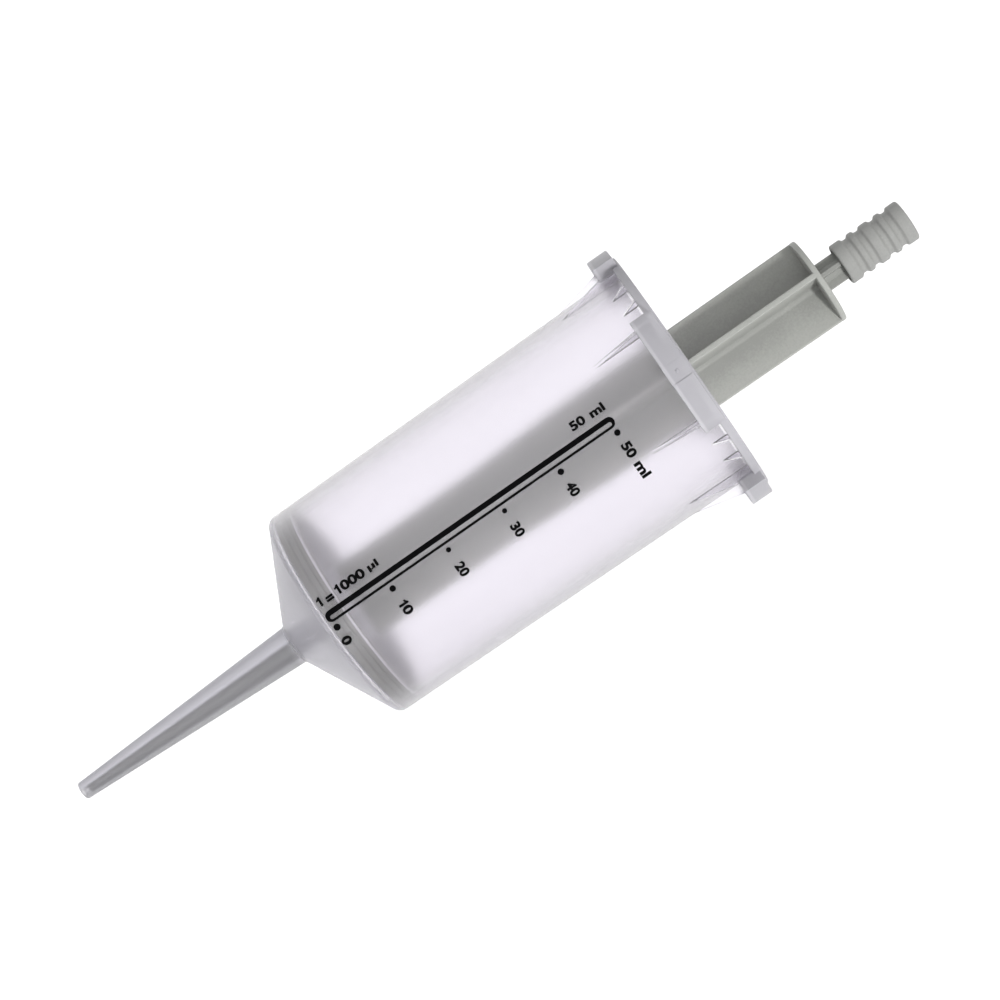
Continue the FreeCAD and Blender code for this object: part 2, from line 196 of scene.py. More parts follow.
class Finish:
    def __init__(self, owner):
        self.owner = owner
        owner.use_nodes = True
        self.tree = owner.node_tree
        self.tree.nodes.clear()

    def add(self, kind, settings=None, sockets=None, output=0):
        node = self.tree.nodes.new(kind)
        for name, value in (settings or {}).items():
            setattr(node, name, value)
        for name, value in (sockets or {}).items():
            if isinstance(value, Signal):
                self.tree.links.new(value.socket, node.inputs[name])
            else:
                node.inputs[name].default_value = value
        return Signal(self, node.outputs[output]) if node.outputs else None

    def place(self, stretch=(1, 1, 1)):
        # object coordinates moved to the nozzle's end and turned along the tip, so that X is the station
        spot = self.add("ShaderNodeTexCoord", output="Object")
        turned = self.add("ShaderNodeMapping", {"vector_type": "POINT"}, {
            "Vector": spot,
            "Location": -(tipTurn.inverted() @ nozzleEnd),
            "Rotation": tipTurn.inverted().to_euler("XYZ"),
        })
        return self.add("ShaderNodeVectorMath", {"operation": "MULTIPLY"}, {0: turned, 1: stretch})

    def station(self):
        # millimetres along the tip from the nozzle's end
        return self.add("ShaderNodeSeparateXYZ", None, {0: self.place((1 / mm, 0, 0))}, output=0)

    def towardsLower(self):
        # -1 on the upper side as it lies, 1 on the lower side
        outward = self.add("ShaderNodeVectorMath", {"operation": "NORMALIZE"}, {0: self.place((0, 1, 1))})
        return self.add("ShaderNodeSeparateXYZ", None, {0: outward}, output=2)

    def reach(self):
        # millimetres out from the tip's axis
        outward = self.place((0, 1 / mm, 1 / mm))
        return self.add("ShaderNodeVectorMath", {"operation": "LENGTH"}, {0: outward}, output=1)

    def grain(self, size, stretch=(1, 1, 1), detail=2.0, roughness=0.5):
        # noise whose features are about this many millimetres wide, even about 0
        noise = self.add("ShaderNodeTexNoise", {"noise_dimensions": "3D"}, {
            "Vector": self.place(stretch),
            "Scale": 1 / (size * mm),
            "Detail": detail,
            "Roughness": roughness,
        })
        return noise - 0.5

    def bump(self, height, depth, after=None):
        sockets = {"Height": height, "Strength": 1.0, "Distance": depth * mm}
        if after:
            sockets["Normal"] = after
        return self.add("ShaderNodeBump", None, sockets)

    def blendColour(self, amount, low, high):
        return self.add("ShaderNodeMix", {"data_type": "RGBA"}, {0: amount, 6: low, 7: high}, output=2)

    def plastic(self, sockets):
        return self.add("ShaderNodeBsdfPrincipled", None, sockets)

    def blendShader(self, amount, first, second):
        return self.add("ShaderNodeMixShader", None, {0: amount, 1: first, 2: second})

    def show(self, shader, output="ShaderNodeOutputMaterial"):
        self.add(output, None, {"Surface": shader})
        return self.owner


# Materials

clearLook = {
    "tint": (0.98, 0.96, 1.0, 1),
    "tintThick": (0.96, 0.938, 0.985, 1),
    "nozzleTint": (0.61, 0.605, 0.62, 1),
    # painted shade: the darker tint for the nozzle's lower side as it lies
    "lowerShadeTint": (0.43, 0.428, 0.44, 1),
    "milk": (0.8, 0.79, 0.85, 1),
    "milkThick": (0.7, 0.69, 0.745, 1),
    "flangeMilk": (0.455, 0.447, 0.478, 1),
    # painted highlight: a lighter milk along the flange's edge towards the nozzle
    "rimGlowMilk": (0.6, 0.592, 0.625, 1),
    "roughness": 0.24,
    "nozzleRoughness": 0.3,
    "ior": 1.49,
    "tubeVeil": 0.015,
    "coneVeil": 0.33,
    "nozzleVeil": 0.1,
    # painted light: a milkier, lighter veil on the nozzle's upper side
    "nozzleUpperGlow": 0.62,
    "flangeVeil": 0.82,
    "upperGlowSide": (-0.33, -0.1),
    "shadedLowerSide": (0.6, 0.9),
    "coneStations": (40.5, 43.0),
    "shoulderStations": (49.4, 51.2),
    "flangeStations": (113.2, 115.0),
    "rimGlowStations": (114.7, 115.1),
    "flangeReaches": (19.8, 21.2),
    "flowSize": 9,
    "flowStretch": (0.25, 1, 1),
    "frostSize": 0.35,
    "streakSize": 2.2,
    "streakStretch": (0.08, 1, 1),
    "frostDepth": 0.006,
    "streakDepth": 0.012,
    "tintFlow": 1.6,
    "milkFlow": 1.4,
    "milkFrost": 0.3,
    "veilFlow": 0.05,
    "roughFlow": 0.04,
    "roughFrost": 0.01,
    "milkRoughness": 0.45,
    "milkRoughFlow": 0.12,
    "milkRoughFrost": 0.1,
}


def makeClearPlastic():
    # clear resin that turns milky where the moulding is thick: nozzle, cone and flange
    look = clearLook
    finish = Finish(bpy.data.materials.new("frostedClear"))
    flow = finish.grain(look["flowSize"], stretch=look["flowStretch"], detail=3.0)
    frost = finish.grain(look["frostSize"])
    streak = finish.grain(look["streakSize"], stretch=look["streakStretch"])
    relief = finish.bump(frost, look["frostDepth"])
    relief = finish.bump(streak + flow, look["streakDepth"], relief)
    station = finish.station()
    pastCone = station.rise(*look["coneStations"])
    pastShoulder = station.rise(*look["shoulderStations"])
    flange = station.rise(*look["flangeStations"]) * finish.reach().rise(*look["flangeReaches"])
    side = finish.towardsLower()
    # painted light: more milky veil makes the nozzle's upper side lighter, for light focused through the nozzle
    upperGlow = (1 - side.rise(*look["upperGlowSide"])) * (1 - pastCone)
    veil = (look["nozzleVeil"] + upperGlow * look["nozzleUpperGlow"]
            + pastCone * (look["coneVeil"] - look["nozzleVeil"])
            + pastShoulder * (look["tubeVeil"] - look["coneVeil"])
            + flange * (look["flangeVeil"] - look["tubeVeil"]))
    tubeTint = finish.blendColour(flow * look["tintFlow"] + 0.5, look["tint"], look["tintThick"])
    tubeMilk = finish.blendColour(flow * look["milkFlow"] + frost * look["milkFrost"] + 0.5,
                                  look["milk"], look["milkThick"])
    # painted shade: the nozzle is tinted darker on its lower side as it lies
    nozzleTint = finish.blendColour(side.rise(*look["shadedLowerSide"]), look["nozzleTint"], look["lowerShadeTint"])
    # painted highlight: the flange's edge towards the nozzle is a lighter milk
    flangeMilk = finish.blendColour(station.rise(*look["rimGlowStations"]), look["rimGlowMilk"], look["flangeMilk"])
    clear = finish.plastic({
        "Base Color": finish.blendColour(pastCone, nozzleTint, tubeTint),
        "Roughness": (look["nozzleRoughness"] + pastCone * (look["roughness"] - look["nozzleRoughness"])
                      + flow * look["roughFlow"] + frost * look["roughFrost"]),
        "IOR": look["ior"],
        "Transmission Weight": 1.0,
        "Normal": relief,
    })
    milky = finish.plastic({
        "Base Color": finish.blendColour(flange, tubeMilk, flangeMilk),
        "Roughness": look["milkRoughness"] + flow * look["milkRoughFlow"] + frost * look["milkRoughFrost"],
        "IOR": look["ior"],
        "Normal": relief,
    })
    return finish.show(finish.blendShader(veil + flow * look["veilFlow"], clear, milky))


greyLook = {
    # painted shade: darker greys for the seal band and the piston's front face
    "sealShadePale": (0.255, 0.26, 0.24, 1),
    "sealShadeDeep": (0.215, 0.22, 0.203, 1),
    "sealStations": (53.6, 53.8),
    "sealReaches": (16.35, 16.65),
    "frontDepths": (42.0, 42.5),  # measured along the cone, whose slope comes next
    "frontSlope": 0.536,
    # painted light: a light grey for the piston's rear dish and rear lip
    "dish": (0.64, 0.635, 0.65, 1),
    "dishGlowFront": (48.8, 49.4),
    "dishGlowRear": (53.9, 54.2),
    # painted shade: darker towards the rod's axis, between the fins
    "rootShadeReaches": (1.2, 7.4),
    "pale": (0.39, 0.396, 0.372, 1),
    "deep": (0.29, 0.295, 0.278, 1),
    "headPale": (0.35, 0.352, 0.34, 1),
    "headDeep": (0.285, 0.287, 0.277, 1),
    "rodRoughness": 0.42,
    "rodGrain": 0.35,
    "headRoughness": 0.5,
    "headGrain": 0.3,
    "cloudSize": 6,
    "dragSize": 1.2,
    "dragStretch": (0.06, 1, 1),
    "grainDepth": 0.02,
    "dragDepth": 0.01,
    "shadeCloud": 0.8,
    "shadeGrain": 1.3,
    "roughCloud": 0.1,
    "roughGrain": 0.12,
    "ior": 1.5,
}


def colourPlunger(finish, shade):
    # painted shade: darker towards the rod's axis, between the fins, and a darker grey on the seal band that rubs
    # on the bore and on the piston's front face; painted light on the rear dish and rear lip
    look = greyLook
    station = finish.station()
    reach = finish.reach()
    # painted shade: darker towards the axis, in the corners between the fins
    shade = shade + reach.rise(*look["rootShadeReaches"])
    grey = finish.blendColour(shade, look["deep"], look["pale"])
    # painted shade: the seal band and the piston's front face in darker grey
    shadedSeal = finish.blendColour(shade, look["sealShadeDeep"], look["sealShadePale"])
    shadedBand = reach.rise(*look["sealReaches"]) * (1 - station.rise(*look["sealStations"]))
    shadedFront = 1 - (station - reach * look["frontSlope"]).rise(*look["frontDepths"])
    # painted light on the piston's rear: scattered light in the dish and a highlight on the rear lip
    dish = station.rise(*look["dishGlowFront"]) * (1 - station.rise(*look["dishGlowRear"]))
    return finish.blendColour(shadedBand + shadedFront, finish.blendColour(dish, grey, look["dish"]), shadedSeal)


def colourHead(finish, shade):
    return finish.blendColour(shade + 0.5, greyLook["headDeep"], greyLook["headPale"])


def makeGreyPlastic(name, colour, roughness, grainSize):
    look = greyLook
    finish = Finish(bpy.data.materials.new(name))
    cloud = finish.grain(look["cloudSize"], detail=3.0)
    speck = finish.grain(grainSize, roughness=0.6)
    drag = finish.grain(look["dragSize"], stretch=look["dragStretch"])
    relief = finish.bump(speck, look["grainDepth"])
    relief = finish.bump(drag, look["dragDepth"], relief)
    return finish.show(finish.plastic({
        "Base Color": colour(finish, cloud * look["shadeCloud"] + speck * look["shadeGrain"]),
        "Roughness": roughness + cloud * look["roughCloud"] + speck * look["roughGrain"],
        "IOR": look["ior"],
        "Normal": relief,
    }))


inkLook = {
    "dense": (0.0015, 0.0015, 0.0016, 1),
    "thin": (0.006, 0.006, 0.0065, 1),
    "patchSize": 0.5,
    "patchDepth": 0.01,
    "thinShare": 0.4,
    "roughness": 0.7,
    "roughPatch": 0.2,
    "ior": 1.08,
}


def makeInkFinish():
    look = inkLook
    finish = Finish(bpy.data.materials.new("scaleInk"))
    patch = finish.grain(look["patchSize"], detail=3.0)
    return finish.show(finish.plastic({
        "Base Color": finish.blendColour(patch + look["thinShare"], look["dense"], look["thin"]),
        "Roughness": look["roughness"] + patch * look["roughPatch"],
        "IOR": look["ior"],
        "Normal": finish.bump(patch, look["patchDepth"]),
    }))


clearPlastic = makeClearPlastic()
rodGrey = makeGreyPlastic("rodGrey", colourPlunger, greyLook["rodRoughness"], greyLook["rodGrain"])
headGrey = makeGreyPlastic("headGrey", colourHead, greyLook["headRoughness"], greyLook["headGrain"])
inkBlack = makeInkFinish()
print("materials ready")


# Barrel: nozzle, cone, bore tube and flange disc in one turned wall, with lugs and webs on it

barrelSizes = {
    "nozzleLength": 41.8,
    "nozzleTipRadius": 1.5,
    "nozzleBaseRadius": 3.33,
    "tipBoreRadius": 1.06,
    "baseBoreRadius": 2.38,
    "coneHalfAngle": 61.8,
    "coneWall": 1.0,
    "boreRadius": 17.5,
    "tubeWall": 1.06,
    "tubeLength": 68.5,
    "tubeDraft": 0.5,
    "shoulderRound": 1.2,
    "mouthChamfer": 0.4,
    "discRadius": 21.45,
    "discThickness": 1.4,
    "tipRound": 0.3,
    "boreEdgeRound": 0.12,
    "nozzleRootRound": 0.35,
    "discRootRound": 0.35,
    "discFootRound": 0.15,
    "discTopRound": 0.25,
    "coneInsideRound": 0.4,
    "baseBoreRound": 0.25,
}
lugSizes = {
    "count": 4,
    "reach": 1.65,
    "angle": 52,
    "height": 3.7,
    "drop": 0.4,
    "skirt": 2.2,
    "gussetLength": 8.2,
    "gussetThickness": 0.6,
    "gussetInset": 1.8,
    "ribLength": 2.8,
    "ribThickness": 0.5,
    "ribRimInset": 0.85,
    "ribSpread": 12.6,
    "gateWidth": 3.1,
    "gateDepth": 0.18,
    "gateSpotRadius": 0.5,
    "gateSpotTopRadius": 0.2,
    "gateSpotDepth": 0.4,
    "gateSpotSink": 0.03,
    "gateOvershoot": 1,
    "lugRound": 0.22,
    "webRound": 0.12,
}

coneSlope = 1 / math.tan(math.radians(barrelSizes["coneHalfAngle"]))
coneSine = math.sin(math.radians(barrelSizes["coneHalfAngle"]))
draftSlope = math.tan(math.radians(barrelSizes["tubeDraft"]))
shoulderRadius = barrelSizes["boreRadius"] + barrelSizes["tubeWall"]
shoulderX = barrelSizes["nozzleLength"] + (shoulderRadius - barrelSizes["nozzleBaseRadius"]) * coneSlope
topX = shoulderX + barrelSizes["tubeLength"]
discX = topX - barrelSizes["discThickness"]
coneInsideX = barrelSizes["nozzleLength"] + barrelSizes["coneWall"] / coneSine


def coneStation(foot, radius):
    return foot + (radius - barrelSizes["nozzleBaseRadius"]) * coneSlope


def tubeRadius(station):
    return shoulderRadius + (station - shoulderX) * draftSlope


def makeTurnedWall():
    size = barrelSizes
    turn = math.radians(size["coneHalfAngle"] - size["tubeDraft"])
    shoulderReach = size["shoulderRound"] * math.tan(turn / 2)
    bm = drawOutline([
        (0, size["tipBoreRadius"], size["boreEdgeRound"]),
        (0, size["nozzleTipRadius"], size["tipRound"]),
        (size["nozzleLength"], size["nozzleBaseRadius"], size["nozzleRootRound"]),
        (shoulderX, shoulderRadius, shoulderReach),
        (discX, tubeRadius(discX), size["discRootRound"]),
        (discX, size["discRadius"], size["discFootRound"]),
        (topX, size["discRadius"], size["discTopRound"]),
        (topX, size["boreRadius"] + size["mouthChamfer"], size["boreEdgeRound"]),
        (topX - size["mouthChamfer"], size["boreRadius"], size["boreEdgeRound"]),
        (coneStation(coneInsideX, size["boreRadius"]), size["boreRadius"], size["coneInsideRound"]),
        (coneStation(coneInsideX, size["baseBoreRadius"]), size["baseBoreRadius"], size["baseBoreRound"]),
    ])
    return toObject(turnRound(bm, 256), "clear_barrel")


def makeLug(number):
    size = lugSizes
    outer = barrelSizes["discRadius"] + size["reach"]
    inner = outer - size["skirt"]
    top = topX - size["drop"]
    foot = top - size["height"]
    root = barrelSizes["boreRadius"] + barrelSizes["tubeWall"] / 2
    bm = drawOutline([
        (topX - barrelSizes["discThickness"] / 2, inner),
        (foot, inner),
        (foot, outer),
        (top, outer),
        (top, root),
        (topX - barrelSizes["discThickness"] / 2, root),
    ])
    turnPart(bm, size["angle"], 40)
    softenEdges(bm, size["lugRound"], sharperThan=50)
    return toObject(roll(bm, number * 360 / size["count"]), f"lug{number}")


def makeWeb(name, corners, thickness, angle):
    bm = makeSlab(drawOutline(corners), thickness)
    softenEdges(bm, lugSizes["webRound"])
    return toObject(roll(bm, angle), name)


def makeWebs():
    size = lugSizes
    outer = barrelSizes["discRadius"] + size["reach"]
    lugFoot = topX - size["drop"] - size["height"]
    root = barrelSizes["boreRadius"] + barrelSizes["tubeWall"] / 2
    inDisc = topX - barrelSizes["discThickness"] / 2
    gusset = [
        (lugFoot - size["gussetLength"], root),
        (lugFoot - size["gussetLength"], tubeRadius(lugFoot - size["gussetLength"])),
        (lugFoot, outer - size["skirt"]),
        (lugFoot, outer - size["skirt"] / 2),
        (inDisc, outer - size["skirt"] / 2),
        (inDisc, root),
    ]
    rib = [
        (discX - size["ribLength"], root),
        (discX - size["ribLength"], tubeRadius(discX - size["ribLength"])),
        (discX, barrelSizes["discRadius"] - size["ribRimInset"]),
        (inDisc, barrelSizes["discRadius"] - size["ribRimInset"]),
        (inDisc, root),
    ]
    pitch = 360 / size["count"]
    lugEnd = size["angle"] / 2 - size["gussetInset"]
    webs = []
    for number in range(size["count"]):
        middle = number * pitch
        if number:  # the gated lug has no web at its middle
            webs.append(makeWeb(f"middleGusset{number}", gusset, size["gussetThickness"], middle))
        for side in (-1, 1):
            webs.append(makeWeb(f"gusset{number}{side}", gusset, size["gussetThickness"], middle + side * lugEnd))
            webs.append(makeWeb(f"lugRib{number}{side}", rib, size["ribThickness"], middle + side * lugEnd / 2))
            gap = middle + pitch / 2 + side * size["ribSpread"] / 2
            webs.append(makeWeb(f"rib{number}{side}", rib, size["ribThickness"], gap))
    return webs


def makeGateCut():
    # the shallow flat across the gated lug, where the mould fed it
    size = lugSizes
    outer = barrelSizes["discRadius"] + size["reach"]
    foot = topX - size["drop"] - size["height"]
    past = size["gateOvershoot"]
    bm = drawOutline([(foot - past, outer - size["gateDepth"]), (topX + past, outer - size["gateDepth"]),
                      (topX + past, outer + past), (foot - past, outer + past)])
    return toObject(makeSlab(bm, size["gateWidth"]), "gateCut")


def makeGateSpot():
    # the stub that is left of the runner, below the lug's own surface
    size = lugSizes
    outer = barrelSizes["discRadius"] + size["reach"]
    bm = bmesh.new()
    bmesh.ops.create_cone(bm, cap_ends=True, segments=32, radius1=size["gateSpotRadius"],
                          radius2=size["gateSpotTopRadius"], depth=size["gateSpotDepth"])
    bmesh.ops.rotate(bm, verts=bm.verts, cent=(0, 0, 0), matrix=Matrix.Rotation(math.radians(-90), 3, "X"))
    middle = topX - size["drop"] - size["height"] / 2
    centre = outer - size["gateSpotSink"] - size["gateSpotDepth"] / 2
    bmesh.ops.translate(bm, verts=bm.verts, vec=(middle, centre, 0))
    return toObject(bm, "gateSpot")


lugs = [makeLug(number) for number in range(lugSizes["count"])]
barrel = joinSolids(makeTurnedWall(), lugs + makeWebs())
joinSolids(barrel, [makeGateCut()], "DIFFERENCE")
joinSolids(barrel, [makeGateSpot()])
finishPiece(barrel, "barrel", clearPlastic, "barrel")


# Plunger: needle, spigot and lipped piston turned in one, with a four-finned rod, plate and neck

plungerSizes = {
    "turn": -5.8,
    "coneGap": 0.3,
    "lipClearance": 0.04,
    "lipWidth": 1.0,
    "sealLength": 3.25,
    "sealGroove": 0.22,
    "rimThickness": 1.2,
    "webThickness": 1.5,
    "faceRadius": 13.0,
    "spigotRadius": 2.35,
    "needleClearance": 0.08,
    "needleSetback": 1.3,
    "rodLength": 88.0,
    "rodRadius": 7.4,
    "waistRadius": 6.52,
    "waistLength": 26.0,
    "flareRadius": 7.2,
    "flareLength": 17.0,
    "finThickness": 0.95,
    "finEdgeRound": 0.26,
    "finRootRound": 0.9,
    "plateThickness": 0.95,
    "neckLength": 3.9,
    "neckRadius": 2.4,
    "neckRib": 0.75,
    "neckCore": 1.3,
    "neckEntry": 0.6,
    "postRadius": 1.9,
    "postLength": 8.0,
    "hollowDepth": 1.6,
    "overlap": 0.2,  # how far joined solids reach into each other
    "coreOverlap": 0.5,
    "needleRound": 0.3,
    "needleRootRound": 0.15,
    "spigotRound": 0.2,
    "spigotRootRound": 0.6,
    "faceRound": 0.3,
    "lipRound": 0.12,
    "sealFloorRound": 0.1,
    "rimRound": 0.2,
    "dishRound": 0.5,
    "plateRound": 0.25,
    "neckRootRound": 0.2,
    "neckEdgeRound": 0.15,
    "postRound": 0.15,
}
frontFaceX = coneInsideX + plungerSizes["coneGap"] / coneSine
lipRadius = barrelSizes["boreRadius"] - plungerSizes["lipClearance"]
lipX = coneStation(frontFaceX, lipRadius)
faceX = coneStation(frontFaceX, plungerSizes["faceRadius"])
rearX = lipX + plungerSizes["sealLength"]
plateX = rearX + plungerSizes["rodLength"]
plateTopX = plateX + plungerSizes["plateThickness"]
headX = plateTopX + plungerSizes["neckLength"]


def makePiston():
    size = plungerSizes
    needleBase = barrelSizes["baseBoreRadius"] - size["needleClearance"]
    needleTip = barrelSizes["tipBoreRadius"] - size["needleClearance"]
    floor = lipRadius - size["sealGroove"]
    rim = lipRadius - size["rimThickness"]
    dishX = faceX + size["webThickness"]
    dish = size["faceRadius"] - size["rimThickness"]
    bm = drawOutline([
        (size["needleSetback"], 0),
        (size["needleSetback"], needleTip, size["needleRound"]),
        (coneStation(frontFaceX, needleBase), needleBase, size["needleRootRound"]),
        (coneStation(frontFaceX, size["spigotRadius"]), size["spigotRadius"], size["spigotRound"]),
        (faceX, size["spigotRadius"], size["spigotRootRound"]),
        (faceX, size["faceRadius"], size["faceRound"]),
        (lipX, lipRadius, size["lipRound"]),
        (lipX + size["lipWidth"], lipRadius, size["lipRound"]),
        (lipX + size["lipWidth"] + size["sealGroove"], floor, size["sealFloorRound"]),
        (rearX - size["lipWidth"] - size["sealGroove"], floor, size["sealFloorRound"]),
        (rearX - size["lipWidth"], lipRadius, size["lipRound"]),
        (rearX, lipRadius, size["rimRound"]),
        (rearX, rim, size["rimRound"]),
        (dishX + (rim - dish) * coneSlope, rim, size["dishRound"]),
        (dishX, dish, size["dishRound"]),
        (dishX, 0),
    ], closed=False)
    return toObject(turnRound(bm), "grey_plunger")


def crossOutline(reach, thickness, rootRound, edgeRound):
    # the rod's section: four fins from a few corners, copied a quarter turn at a time
    half = thickness / 2
    bm = bmesh.new()
    ring = []
    for quarter in range(4):
        turn = Matrix.Rotation(quarter * math.pi / 2, 3, "X")
        for y, z in ((reach, -half), (reach, half), (half, half)):
            ring.append(bm.verts.new(turn @ Vector((0, y, z))))
    for a, b in zip(ring, ring[1:] + ring[:1]):
        bm.edges.new((a, b))
    for number, vert in enumerate(ring):
        reachAlong = rootRound if number % 3 == 2 else edgeRound
        bmesh.ops.bevel(bm, geom=[vert], offset=reachAlong, offset_type="OFFSET", affect="VERTICES",
                        segments=6, profile=0.5, material=-1)
    bmesh.ops.contextual_create(bm, geom=bm.edges[:])
    return bm


def reachAt(reaches, station):
    # the radius at a station, from the (station, radius) places before and after it
    for (low, lowReach), (high, highReach) in zip(reaches, reaches[1:]):
        if station < high:
            break
    share = min(1, max(0, (station - low) / (high - low)))
    return lowReach + share * (highReach - lowReach)


def makeCross(name, reaches, thickness, rootRound, edgeRound):
    # one straight push, cut at each station, where the fins' outer ends are then drawn in
    widest = max(reach for station, reach in reaches)
    bm = crossOutline(widest, thickness, rootRound, edgeRound)
    bmesh.ops.translate(bm, verts=bm.verts, vec=(reaches[0][0], 0, 0))
    pushOut(bm, (reaches[-1][0] - reaches[0][0], 0, 0))
    for station, reach in reaches[1:-1]:
        bmesh.ops.bisect_plane(bm, geom=bm.verts[:] + bm.edges[:] + bm.faces[:], plane_co=(station, 0, 0),
                               plane_no=xAxis, dist=1e-5)
    for vert in bm.verts:
        drawIn = widest - reachAt(reaches, vert.co.x)
        for side in (1, 2):
            if abs(vert.co[side]) > widest - edgeRound * 1.5:
                vert.co[side] -= math.copysign(drawIn, vert.co[side])
    return toObject(bm, name)


def makeDisc(name, start, end, radius, rounding):
    bm = drawOutline([
        (start, 0),
        (start, radius, rounding),
        (end, radius, rounding),
        (end, 0),
    ], closed=False)
    return toObject(turnRound(bm, 128), name)


def makePlunger():
    size = plungerSizes
    seatX = headX + size["hollowDepth"]
    inFace = faceX + size["webThickness"] / 2
    waistEnd = rearX + size["waistLength"]
    flareEnd = waistEnd + size["flareLength"]
    rod = makeCross("rod", [(inFace, size["waistRadius"]), (waistEnd, size["waistRadius"]),
                            (flareEnd, size["flareRadius"]), (plateX + size["overlap"], size["rodRadius"])],
                    size["finThickness"], size["finRootRound"], size["finEdgeRound"])
    neckStart = plateTopX - size["overlap"]
    neckEnd = headX + size["neckEntry"]
    neck = makeCross("neck", [(neckStart, size["neckRadius"]), (neckEnd, size["neckRadius"])],
                     size["neckRib"], size["neckRootRound"], size["neckEdgeRound"])
    plate = makeDisc("plate", plateX, plateTopX, size["rodRadius"], size["plateRound"])
    core = makeDisc("core", neckStart, seatX + size["coreOverlap"], size["neckCore"], size["postRound"])
    post = makeDisc("post", seatX - size["overlap"], headX + size["postLength"], size["postRadius"],
                    size["postRound"])
    plunger = joinSolids(makePiston(), [rod, plate, neck, core, post])
    plunger.data.transform(Matrix.Rotation(math.radians(size["turn"]), 4, "X"))
    return plunger


finishPiece(makePlunger(), "plunger", rodGrey, "plunger")


# Coupling head: a turned sleeve with four ring grooves, pressed on the plunger's post

headSizes = {
    "length": 12.6,
    "radius": 3.53,
    "chamfer": 0.35,
    "grooveDepth": 0.45,
    "grooveWidth": 0.7,
    "grooveFlare": 0.38,
    "grooveInner": 1.43,
    "grooveOuter": 3.65,
    "socketRadius": plungerSizes["postRadius"],
    "socketDepth": plungerSizes["postLength"],
    "hollowRadius": 2.95,
    "hollowDepth": plungerSizes["hollowDepth"],
    "insideRound": 0.1,
    "landRound": 0.15,
    "grooveRound": 0.18,
}


def makeHead():
    size = headSizes
    outside = size["radius"]
    floor = outside - size["grooveDepth"]
    middle = headX + size["length"] / 2
    half = size["grooveWidth"] / 2
    corners = [
        (headX + size["socketDepth"], 0),
        (headX + size["socketDepth"], size["socketRadius"]),
        (headX + size["hollowDepth"], size["socketRadius"], size["insideRound"]),
        (headX + size["hollowDepth"], size["hollowRadius"], size["insideRound"]),
        (headX, size["hollowRadius"], size["insideRound"]),
        (headX, outside, size["chamfer"]),
    ]
    for offset in (-size["grooveOuter"], -size["grooveInner"], size["grooveInner"], size["grooveOuter"]):
        at = middle + offset
        corners += [
            (at - half - size["grooveFlare"], outside, size["landRound"]),
            (at - half, floor, size["grooveRound"]),
            (at + half, floor, size["grooveRound"]),
            (at + half + size["grooveFlare"], outside, size["landRound"]),
        ]
    corners += [
        (headX + size["length"], outside, size["chamfer"]),
        (headX + size["length"], 0),
    ]
    return toObject(turnRound(drawOutline(corners, closed=False), 160), "grooved_head")


finishPiece(makeHead(), "plunger", headGrey, "coupling_head")


# Printed scale: drawn flat as (station, distance round the tube), then wrapped on the tube

scaleSizes = {
    "sink": 0.02,
    "thickness": 0.05,
    "loopStart": 50.9,
    "loopEnd": 104.25,
    "thickEdge": -0.53,
    "thickInside": 0.32,
    "thinInside": 0.97,
    "thinEdge": 1.36,
    "endWidth": 0.62,
    "dotStart": 51.57,
    "dotPitch": 10.396,
    "dotLine": 2.32,
    "dotRadii": (0.55, 0.5, 0.4, 0.4, 0.5, 0.5),
    "labelHeight": 1.65,
    "labels": (  # dot, words, start, length
        (0, "0", 4.15, 1.4),
        (1, "1", 4.72, 0.75),
        (1, "0", 5.65, 1.45),
        (2, "20", 4.85, 2.3),
        (3, "30", 4.7, 2.3),
        (4, "40", 4.4, 2.3),
        (5, "50", 4.2, 2.6),
        (5, "ml", 7.85, 2.95),
    ),
    "legendLine": -1.58,
    "bold": 0.042,
    "oneCorners": ((0.45, 0), (1, 0), (1, 1), (0.6, 1), (0.42, 0.87), (0, 0.79), (0, 0.58), (0.45, 0.66)),
    "legend": (  # words, first station, length, height
        ("1", 51.1, 0.7, 1.58),
        ("=", 52.55, 1.3, 0.85),
        ("1", 54.5, 0.75, 1.58),
        ("000", 55.5, 4.3, 1.58),
        ("µl", 60.5, 1.85, 1.46),
        ("50", 98.1, 2.55, 1.5),
        ("ml", 101.65, 2.5, 1.4),
    ),
}


def drawText(words, length, height):
    # a flat text mesh whose lower left corner is at 0, fitted to a length and a height
    curve = bpy.data.curves.new(words, "FONT")
    curve.body = words
    curve.resolution_u = 6
    curve.offset = scaleSizes["bold"]
    written = bpy.data.objects.new(words, curve)
    bpy.context.scene.collection.objects.link(written)
    bpy.context.view_layer.update()
    mesh = bpy.data.meshes.new_from_object(written.evaluated_get(bpy.context.evaluated_depsgraph_get()))
    bpy.data.objects.remove(written)
    bm = bmesh.new()
    bm.from_mesh(mesh)
    bpy.data.meshes.remove(mesh)
    bmesh.ops.remove_doubles(bm, verts=bm.verts, dist=1e-5)
    lows = [min(vert.co[i] for vert in bm.verts) for i in (0, 1)]
    highs = [max(vert.co[i] for vert in bm.verts) for i in (0, 1)]
    bmesh.ops.translate(bm, verts=bm.verts, vec=(-lows[0], -lows[1], 0))
    bmesh.ops.scale(bm, verts=bm.verts, vec=(length / (highs[0] - lows[0]), height / (highs[1] - lows[1]), 1))
    return bm


def drawOne(length, height):
    # a figure one with a clear flag, which the font's own lacks at this size
    bm = bmesh.new()
    bm.faces.new([bm.verts.new((x * length, y * height, 0)) for x, y in scaleSizes["oneCorners"]])
    return bm


def drawStadium(bm, start, end, low, high):
    reach = (high - low) / 2
    ring = [bm.verts.new(place) for place in ((start, low, 0), (end, low, 0), (end, high, 0), (start, high, 0))]
    for a, b in zip(ring, ring[1:] + ring[:1]):
        bm.edges.new((a, b))
    bmesh.ops.bevel(bm, geom=ring, offset=reach * 0.999, offset_type="OFFSET", affect="VERTICES",
                    segments=10, profile=0.5, material=-1)


